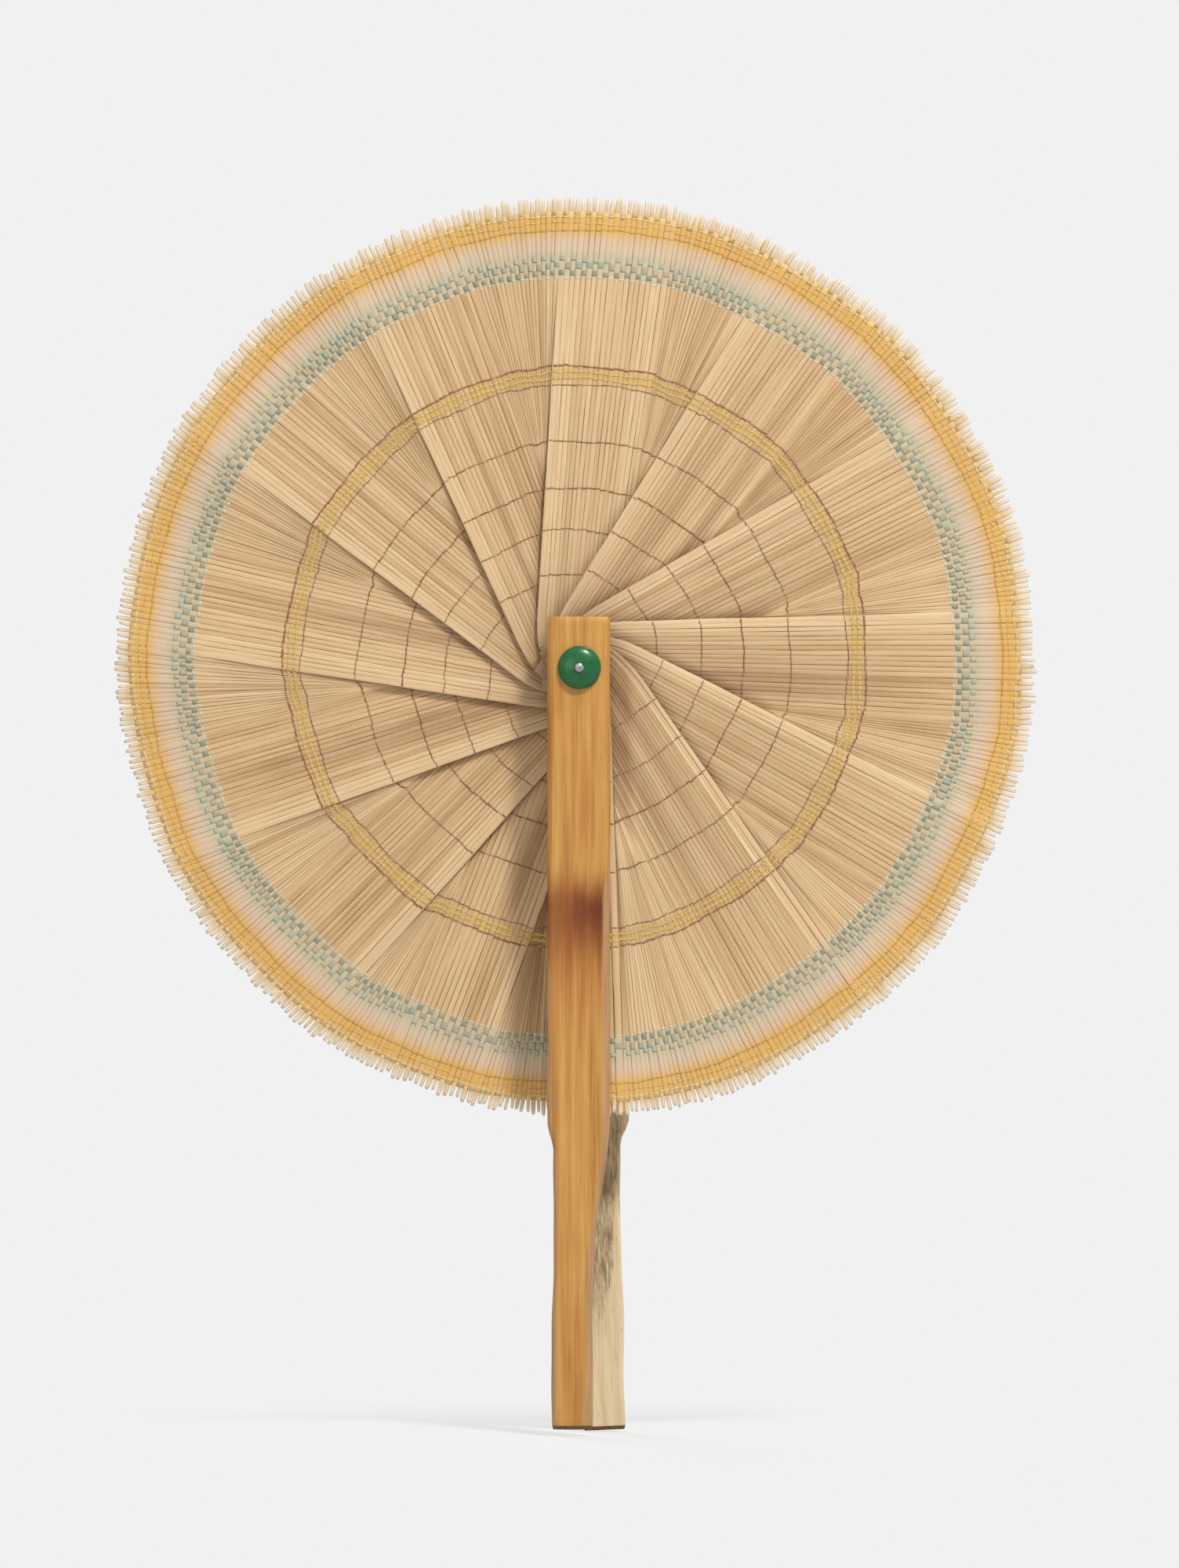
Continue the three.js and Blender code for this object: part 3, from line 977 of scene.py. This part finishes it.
def skin_material():
    """Golden outer skin of bamboo, scorched across one node."""
    mat = Shader("bamboo_skin")
    along, across, seed = mat.values("grain")
    fine = mat.grain(SKIN_FINE, across, along, seed)
    broad = mat.grain(SKIN_BROAD, across, along)
    cloud = mat.grain(SKIN_CLOUD, across, along)
    tone = mat.plus(mat.scaled(fine, 0.9), mat.scaled(broad, 1.0, -0.53))
    colour, _ = mat.ramp(mat.plus(tone, mat.scaled(cloud, 0.4, -0.2), clamp=True), SKIN_TONES)
    ragged = mat.grain(SKIN_RAGGED, across, along)
    rising = mat.span(mat.strayed(along, ragged, START_RAGGED), *SCORCH_START)
    falling = mat.span(mat.strayed(along, ragged, FADE_RAGGED), *SCORCH_FADE, 1.0, 0.0)
    scorch = mat.times(mat.times(rising, falling), mat.scaled(fine, 0.7, 0.62), clamp=True)
    ending = mat.span(mat.strayed(along, ragged, CORE_RAGGED), *CORE_FADE, 1.0, 0.0)
    core = mat.times(mat.times(rising, rising), ending)
    core = mat.times(core, mat.span(mat.strayed(across, broad, CORE_SIDE_RAGGED), *CORE_SIDE, 0.5, 1.0))
    inside = mat.span(across, *SCORCH_SIDE, 0.3, 1.0)
    colour = mat.mix(mat.times(scorch, mat.scaled(inside, SCORCH_SHARE)), colour, SCORCH)
    colour = mat.mix(mat.times(core, mat.scaled(inside, CORE_SHARE)), colour, CHAR)
    strayed = mat.strayed(across, ragged, BARE_RAGGED)
    right = mat.span(along, *PARED_RANGE, STICK_RIGHT, STICK_RIGHT - PARED_WIDTH)
    right = mat.minus(right, mat.span(along, *RIGHT_HANDLE, 0.0, RIGHT_HANDLE_WIDTH))
    right_bare = mat.span(mat.minus(strayed, right), *BARE_BORDER)
    left = mat.span(along, *LEFT_PARED, -STICK_LEFT, LEFT_PARED_WIDTH - STICK_LEFT)
    left = mat.plus(left, mat.span(along, *LEFT_HANDLE, 0.0, LEFT_HANDLE_WIDTH))
    left_bare = mat.span(mat.minus(left, strayed), *BARE_BORDER)
    bare = mat.math("MAXIMUM", right_bare, left_bare)
    fibre, _ = mat.ramp(fine, FIBRE_TONES)
    colour = mat.cover(colour, fibre, bare, BARE_SHARE)
    specks = mat.span(mat.grain(SKIN_SPECKS, across, along), 0.68, 0.76)
    colour = mat.cover(colour, SKIN_SPECK, specks, 0.35)
    roughness = mat.scaled(fine, 0.22, 0.32)
    return mat.surface(
        colour, roughness, mat.bump(fine, 0.35, 0.1),
        Specular_IOR_Level=0.35, Coat_Weight=0.06, Coat_Roughness=0.35,
    )


# Inner side of the sticks: its grain across and along them
INNER_FINE = Grain(2.6, 0.06, detail=5.0, roughness=0.7)
INNER_BROAD = Grain(0.5, 0.02, layer=5.0)
INNER_RAGGED = Grain(0.9, 0.07, layer=1.0, detail=6.0, roughness=0.75)
INNER_MOTTLE = Grain(1.0, 0.11, layer=8.0, detail=5.0, roughness=0.75)
INNER_TONES = [
    (0.20, srgb(184, 154, 109)),
    (0.45, srgb(222, 200, 160)),
    (0.80, srgb(240, 224, 190)),
]
INNER_SPECK = srgb(120, 92, 56)
NECK_STAIN = srgb(108, 77, 44)
# The stain's border: its place across the stick at its top, its slope and how ragged it is
STAIN_TOP = 141.0
STAIN_BORDER = 6.4
STAIN_SLOPE = -0.105
STAIN_RAGGED = 12.0
STAIN_EDGE = (-0.6, 0.9)
STAIN_FADE = (178.0, 214.0)
STAIN_SHARE = 0.8
SPECK_FADE = (170.0, 224.0)
SPECK_SHARE = 0.5


def inner_material():
    """Pale split inner face of bamboo, stained beside the neck."""
    mat = Shader("bamboo_inner")
    along, across, seed = mat.values("grain")
    fine = mat.grain(INNER_FINE, across, along, seed)
    broad = mat.grain(INNER_BROAD, across, along)
    tone = mat.plus(mat.scaled(fine, 0.6), mat.scaled(broad, 0.5, -0.1), clamp=True)
    colour, _ = mat.ramp(tone, INNER_TONES)
    ragged = mat.grain(INNER_RAGGED, across, along)
    border = mat.scaled(mat.minus(along, STAIN_TOP), STAIN_SLOPE, STAIN_BORDER)
    beside = mat.strayed(mat.minus(border, across), ragged, STAIN_RAGGED)
    stain = mat.times(mat.span(beside, *STAIN_EDGE), mat.span(along, *STAIN_FADE, 1.0, 0.0))
    mottle = mat.grain(INNER_MOTTLE, across, along)
    stain = mat.times(stain, mat.span(mottle, 0.38, 0.6, 0.3, 1.0))
    speck = mat.times(mat.span(mottle, 0.57, 0.66), mat.span(along, *SPECK_FADE, 1.0, 0.55))
    colour = mat.cover(colour, INNER_SPECK, speck, SPECK_SHARE)
    colour = mat.cover(colour, NECK_STAIN, stain, STAIN_SHARE)
    roughness = mat.scaled(fine, 0.2, 0.6)
    return mat.surface(colour, roughness, mat.bump(fine, 0.6, 0.15), Specular_IOR_Level=0.3)


# Features per metre of the cut ends, the enamel and the metal
PORES = 1400.0
ENAMEL_MOTTLE = 420.0
ENAMEL_WEAR = 900.0
HAMMERED = 1300.0
END_PORE = srgb(54, 34, 16)
END_FIBRE = srgb(112, 80, 44)
ENAMEL_TONES = [(0.25, srgb(0, 74, 32)), (0.55, srgb(0, 92, 42)), (0.85, srgb(2, 106, 50))]
WORN_ENAMEL = srgb(90, 140, 102)
WORN_SHARE = 0.18
METAL_TONES = [(0.3, srgb(122, 126, 122)), (0.7, srgb(180, 184, 180))]


def end_material():
    """Cut ends, and the foot's bevel as a painted shade line along the bottom: dark pores in paler fibre."""
    mat = Shader("bamboo_end")
    pores = mat.node("ShaderNodeTexVoronoi")
    pores.inputs["Scale"].default_value = PORES
    mat.feed(pores.inputs["Vector"], mat.position())
    spot = mat.span(pores.outputs["Distance"], 0.12, 0.42)
    return mat.surface(mat.mix(spot, END_PORE, END_FIBRE), 0.75, mat.bump(spot, 0.4, 0.1))


def enamel_material():
    mat = Shader("green_enamel")
    position = mat.position()
    mottled = mat.noise(position, ENAMEL_MOTTLE, 4.0, 0.6)
    patches = mat.span(mat.noise(position, ENAMEL_WEAR, 5.0, 0.7), 0.64, 0.74)
    colour, _ = mat.ramp(mottled, ENAMEL_TONES)
    colour = mat.cover(colour, WORN_ENAMEL, patches, WORN_SHARE)
    roughness = mat.scaled(mottled, 0.2, 0.22)
    return mat.surface(
        colour, roughness, mat.bump(mottled, 0.12, 0.12),
        Specular_IOR_Level=0.3, Coat_Weight=0.35, Coat_Roughness=0.22,
    )


def metal_material():
    mat = Shader("bright_metal")
    hammered = mat.noise(mat.position(), HAMMERED)
    colour, _ = mat.ramp(hammered, METAL_TONES)
    roughness = mat.scaled(hammered, 0.3, 0.2)
    return mat.surface(colour, roughness, mat.bump(hammered, 0.4, 0.1), Metallic=0.95)


def eased(value, low, high):
    share = min(1.0, max(0.0, (value - low) / (high - low)))
    return share * share * (3 - 2 * share)


def half_width(depth, full, neck, bottom):
    """Half width of a stick on one side at a depth below the pin."""
    length, top, end = neck
    along = max(0.0, depth - NECK_START - length) / (bottom - NECK_START - length)
    handle = top + (end - top) * along
    return full + (handle - full) * eased(depth, NECK_START, NECK_START + length)


# Points round a stick: insets from an edge, number over the flat, and the inner side's rounding
EDGE_INSETS = [0.0, 0.12, 0.35, 0.7, 1.1, 1.7, 2.6, 3.6]
FACE_POINTS = 7
INNER_ROUND = 0.3
INNER_INSET = 1.5
STATION_STEP = 2.5
# A stick's edges stray in a long wave, more so along the hewn handle, and in a short one
STRAY = 0.05
SHORT_STRAY = 0.08
HEWN_RANGE = (NECK_START - 4, NECK_START + 10)
# For each edge: how much more the handle strays, and the lengths of both waves
LEFT_WAVES = (0.15, 9.0, 3.7)
RIGHT_WAVES = (0.2, 8.0, 4.3)
FRONT_SEED = 3
REAR_SEED = 8


def outer_drop(inset, pared=0.0):
    """How far the crowned outer face falls back towards an edge that is pared down by a share."""
    edge = EDGE_DROP * max(0.0, 1 - inset / EDGE_WIDTH) ** 2
    edge += pared * PARED_DROP * max(0.0, 1 - inset / PARED_WIDTH)
    return edge + CROWN_DROP * max(0.0, 1 - inset / CROWN_WIDTH) ** 2


def edge_stray(depth, waves, phases):
    hewn, long_wave, short_wave = waves
    stray = STRAY + hewn * eased(depth, *HEWN_RANGE)
    short = SHORT_STRAY * math.sin(depth / short_wave + phases[1])
    return stray * math.sin(depth / long_wave + phases[0]) + short


def stick_section(left, right, shrink, pared):
    """Points round a stick as (across, depth from the outer face), outer face first, from left to right."""
    insets = [inset + shrink for inset in EDGE_INSETS]
    middle = np.linspace(left + insets[-1], right - insets[-1], FACE_POINTS)[1:-1]
    outer = [(left + inset, outer_drop(inset - shrink) + shrink) for inset in insets]
    outer += [(x, shrink) for x in middle]
    outer += [(right - inset, outer_drop(inset - shrink, pared) + shrink) for inset in reversed(insets)]
    back = STICK_THICKNESS - shrink
    left, right = left + shrink, right - shrink
    inner = [(right, back - INNER_ROUND), (right - INNER_ROUND, back)]
    inner += [(x, back) for x in np.linspace(right - INNER_INSET, left + INNER_INSET, FACE_POINTS)]
    inner += [(left + INNER_ROUND, back), (left, back - INNER_ROUND)]
    return outer, inner


def stick_object(name, neck, bottom, theta, outer_y, facing, seed, materials):
    """A bamboo slat lofted down its length. Its skin looks to the front (facing 1) or to the back (-1)."""
    phases = np.random.default_rng(seed).uniform(0, 2 * math.pi, 4)
    depths = np.concatenate([
        [-STICK_TOP, -STICK_TOP + STICK_BEVEL],
        np.arange(-STICK_TOP + STATION_STEP, bottom - 1, STATION_STEP),
        [bottom - FOOT_BEVEL, bottom],
    ])
    points, grain = [], []
    for k, depth in enumerate(depths):
        shrink = STICK_BEVEL if k in (0, len(depths) - 1) else 0.0
        left = -half_width(depth, STICK_LEFT, LEFT_NECK, bottom) + edge_stray(depth, LEFT_WAVES, phases[:2])
        right = half_width(depth, STICK_RIGHT, neck, bottom) + edge_stray(depth, RIGHT_WAVES, phases[2:])
        outer, inner = stick_section(left, right, shrink, eased(depth, *PARED_RANGE))
        for across, back in outer + inner:
            points.append(place(theta, across, depth, outer_y + facing * back))
            grain.append((depth, across, seed))
    ring = len(outer) + len(inner)
    skin, inside, cut = range(3)
    faces, slots = [], []
    for k in range(len(depths) - 1):
        # The foot's bevel takes the dark cut-end material too, as a painted shade line along the bottom
        foot = k == len(depths) - 2
        for i in range(ring):
            j = (i + 1) % ring
            faces.append([k * ring + i, k * ring + j, (k + 1) * ring + j, (k + 1) * ring + i])
            slots.append(cut if foot else skin if i < len(outer) - 1 else inside)
    last = (len(depths) - 1) * ring
    faces.append(list(range(ring))[::-1])
    faces.append(list(range(last, last + ring)))
    slots += [cut, cut]
    if facing > 0:
        faces = [face[::-1] for face in faces]
    flat = np.zeros(len(faces), bool)
    flat[-2:] = True
    obj = add_object(name, points, faces, materials, flat, slots)
    add_point_values(obj, "grain", "FLOAT_VECTOR", "vector", grain)
    return obj


# Edges of turned pieces are crisp where they are sharper than this
CREASE = math.radians(38)


def turned_object(name, profile, segments, material):
    """A profile of (radius, y) points turned about the pin, with smooth walls and crisp corners."""
    mesh = bpy.data.meshes.new(name)
    shape = bmesh.new()
    axis_point = Vector((PIN[0] * MM, 0, PIN[2] * MM))
    ring = [shape.verts.new(axis_point + Vector((radius * MM, y * MM, 0))) for radius, y in profile]
    edges = [shape.edges.new((a, b)) for a, b in zip(ring, ring[1:])]
    bmesh.ops.spin(
        shape, geom=ring + edges, cent=axis_point, axis=(0, 1, 0), angle=2 * math.pi, steps=segments,
        use_merge=True,
    )
    bmesh.ops.remove_doubles(shape, verts=shape.verts, dist=TINY)
    bmesh.ops.recalc_face_normals(shape, faces=shape.faces)
    for face in shape.faces:
        face.smooth = True
    for edge in shape.edges:
        if len(edge.link_faces) == 2 and edge.calc_face_angle() > CREASE:
            edge.smooth = False
    shape.to_mesh(mesh)
    shape.free()
    mesh.materials.append(material)
    return link_object(name, mesh)


def arc(centre, radii, start, end, steps):
    """Points (radius, y) along part of an ellipse, angles in degrees."""
    angles = np.radians(np.linspace(start, end, steps))
    return [(centre[0] + radii[0] * math.cos(a), centre[1] + radii[1] * math.sin(a)) for a in angles]


def finish_piece(obj, body, slot, *nodes):
    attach(obj, body)
    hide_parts(*nodes)


def make_sticks(*materials):
    front_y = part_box("front_stick")[0].y / MM
    front = stick_object("front_stick_skin", FRONT_NECK, FRONT_BOTTOM, 0.0, front_y, 1, FRONT_SEED, materials)
    finish_piece(front, "front_guard", "bamboo_skin", "front_stick")
    rear_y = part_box("rear_stick")[1].y / MM
    turn = ANGLES[-1]
    rear = stick_object("rear_stick_skin", REAR_NECK, REAR_BOTTOM, turn, rear_y, -1, REAR_SEED, materials)
    finish_piece(rear, "rear_guard", "bamboo_inner", "rear_stick")


def make_cap(enamel):
    seat = -SEAT_GAP
    radius = CAP_DIAMETER / 2
    rim = seat - CAP_RIM
    dome = arc((0, rim), (radius - DOME_INSET, CAP_HEIGHT - CAP_RIM), 0, -78, 16)
    profile = [(PIN_HOLE, seat), (radius - CAP_UNDERCUT, seat)]
    profile += arc((radius - CAP_ROUND, rim + CAP_ROUND), (CAP_ROUND, CAP_ROUND), 60, -40, 5)
    profile += dome + [(PIN_HOLE, dome[-1][1] + CAP_DIMPLE), (PIN_HOLE, seat)]
    cap = turned_object("cap_dome", profile, CAP_SEGMENTS, enamel)
    finish_piece(cap, "front_guard", "green_cap", "pin_cap")


def make_pin(metal):
    peen = -SEAT_GAP - CAP_HEIGHT - SEAT_GAP
    head_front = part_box("rear_washer")[1].y / MM + SEAT_GAP
    head_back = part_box("pivot_pin")[1].y / MM
    rivet, shank, head = RIVET_DIAMETER / 2, PIN_DIAMETER / 2, HEAD_DIAMETER / 2
    profile = arc((0, peen), (rivet, RIVET_HEIGHT), -90, 0, 9)
    profile += [(rivet, peen + RIVET_RIM), (shank, peen + RIVET_RIM)]
    profile += [(shank, head_front), (head - HEAD_UNDERCUT, head_front)]
    profile += arc((head - HEAD_ROUND, head_back - HEAD_ROUND), (HEAD_ROUND, HEAD_ROUND), 0, 80, 6)
    profile += [(0, head_back)]
    pin = turned_object("peened_pin", profile, PIN_SEGMENTS, metal)
    finish_piece(pin, "front_guard", "rivet_metal", "pivot_pin")


def make_washer(metal):
    front, back = (corner.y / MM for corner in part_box("rear_washer"))
    outer = WASHER_DIAMETER / 2
    inset = outer - WASHER_BEVEL
    profile = [(PIN_HOLE, front), (inset, front), (outer, front + WASHER_BEVEL)]
    profile += [(outer, back - WASHER_BEVEL), (inset, back), (PIN_HOLE, back), (PIN_HOLE, front)]
    washer = turned_object("pin_washer", profile, WASHER_SEGMENTS, metal)
    finish_piece(washer, "front_guard", "rivet_metal", "rear_washer")


def make_return(i, straw, yarn):
    """A return panel in narrow strips, since each part of it turns by its own share as the fold closes."""
    node = f"leaf_return_{i + 1:02d}"
    panel = return_panel(i)
    count = len(panel.u)
    rows = RIM_ROWS + MIDDLE_ROWS if i == 0 else RIM_ROWS
    parts = panel_parts(panel, rows, RETURN_SEED + i, loose=True)
    strips = np.array_split(np.arange(count), round(count / STRIP_SPLINTS))
    for k, splints in enumerate(strips):
        own = [strip_of(part, splints[0], splints[-1] + 1, count) for part in parts]
        strip = woven_object(f"{node}_strip_{k + 1}", own, [straw, yarn])
        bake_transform(strip)
        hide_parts(node)


def make_leaf(straw, yarn):
    for i in range(PLEATS + 1):
        node = face_name(i)
        parts = panel_parts(face_panel(i), RIM_ROWS + MIDDLE_ROWS + INNER_ROWS, SEED + i)
        front = woven_object(f"{node}_splints", parts, [straw, yarn])
        finish_piece(front, face_body(i), "straw_mat", node)
    for i in range(PLEATS):
        make_return(i, straw, yarn)


# Photograph: where its frame's middle lies, and how tall the frame is at the leaf
VIEW_CENTRE = (5.2, 169.5)
VIEW_HEIGHT = 480.0
CAMERA_DISTANCE = 3200.0
SENSOR = 36.0
# In metres
CLIP_END = 50


def make_camera():
    data = bpy.data.cameras.new("camera")
    data.sensor_width = SENSOR
    data.lens = SENSOR * CAMERA_DISTANCE / VIEW_HEIGHT
    data.clip_end = CLIP_END
    camera = link_object("camera", data)
    camera.location = (VIEW_CENTRE[0] * MM, (PIN[1] - CAMERA_DISTANCE) * MM, VIEW_CENTRE[1] * MM)
    camera.rotation_euler = (math.radians(90), 0, 0)
    bpy.context.scene.camera = camera


BACKGROUND = srgb(241, 241, 241)
SURROUND = 0.28
# Lamps: name, place and size in metres, power in watts
LAMPS = [
    ("key", (0.7, -1.15, 1.9), 0.36, 42.0),
    ("fill", (-1.0, -2.2, 0.6), 1.4, 6.0),
    ("back", (-0.9, 1.7, 1.5), 0.9, 20.0),
]
LAMP_TARGET = (0.0, 0.0, 0.17)


def make_lamp(name, position, size, power):
    data = bpy.data.lights.new(name, "AREA")
    data.shape = "DISK"
    data.size = size
    data.energy = power
    lamp = link_object(name, data)
    lamp.location = position
    lamp.rotation_euler = (Vector(LAMP_TARGET) - Vector(position)).to_track_quat("-Z", "Y").to_euler()


def make_world():
    mat = Shader("studio", world=True)
    around = mat.make("ShaderNodeBackground", (1, 1, 1, 1), SURROUND)
    shown = mat.make("ShaderNodeBackground", BACKGROUND)
    bpy.context.scene.world = mat.either(mat.seen_directly(), around, shown)


# Floor: its radius in metres and its gap under the fan in millimetres
FLOOR_RADIUS = 4.0
FLOOR_SEGMENTS = 96
FLOOR_GAP = 0.4
FLOOR_TONE = 0.8
# Beside the fan it shows this share of the background, and all of it farther off, in metres
FLOOR_GLOW = 0.72
FLOOR_FADE = (0.02, 0.2)


def make_floor():
    """A matt floor that fades into the background a little way off from the fan."""
    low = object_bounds()[0]
    mesh = bpy.data.meshes.new("floor")
    shape = bmesh.new()
    bmesh.ops.create_circle(shape, cap_ends=True, segments=FLOOR_SEGMENTS, radius=FLOOR_RADIUS)
    shape.to_mesh(mesh)
    shape.free()
    floor = link_object("floor", mesh)
    floor.location = (0, 0, low[2] - FLOOR_GAP * MM)
    mat = Shader("floor")
    matt = mat.make("ShaderNodeBsdfDiffuse", (FLOOR_TONE, FLOOR_TONE, FLOOR_TONE, 1))
    glow = mat.make("ShaderNodeEmission", BACKGROUND)
    away = mat.node("ShaderNodeVectorMath", operation="LENGTH")
    mat.feed(away.inputs[0], mat.position())
    fade = mat.span(away.outputs["Value"], *FLOOR_FADE, FLOOR_GLOW, 1.0)
    mesh.materials.append(mat.either(mat.times(fade, mat.seen_directly()), matt, glow))


make_camera()
make_sticks(skin_material(), inner_material(), end_material())
make_cap(enamel_material())
metal = metal_material()
make_pin(metal)
make_washer(metal)
make_leaf(straw_material(), yarn_material())
make_floor()
make_world()
for settings in LAMPS:
    make_lamp(*settings)
bpy.context.scene.view_settings.view_transform = "Standard"
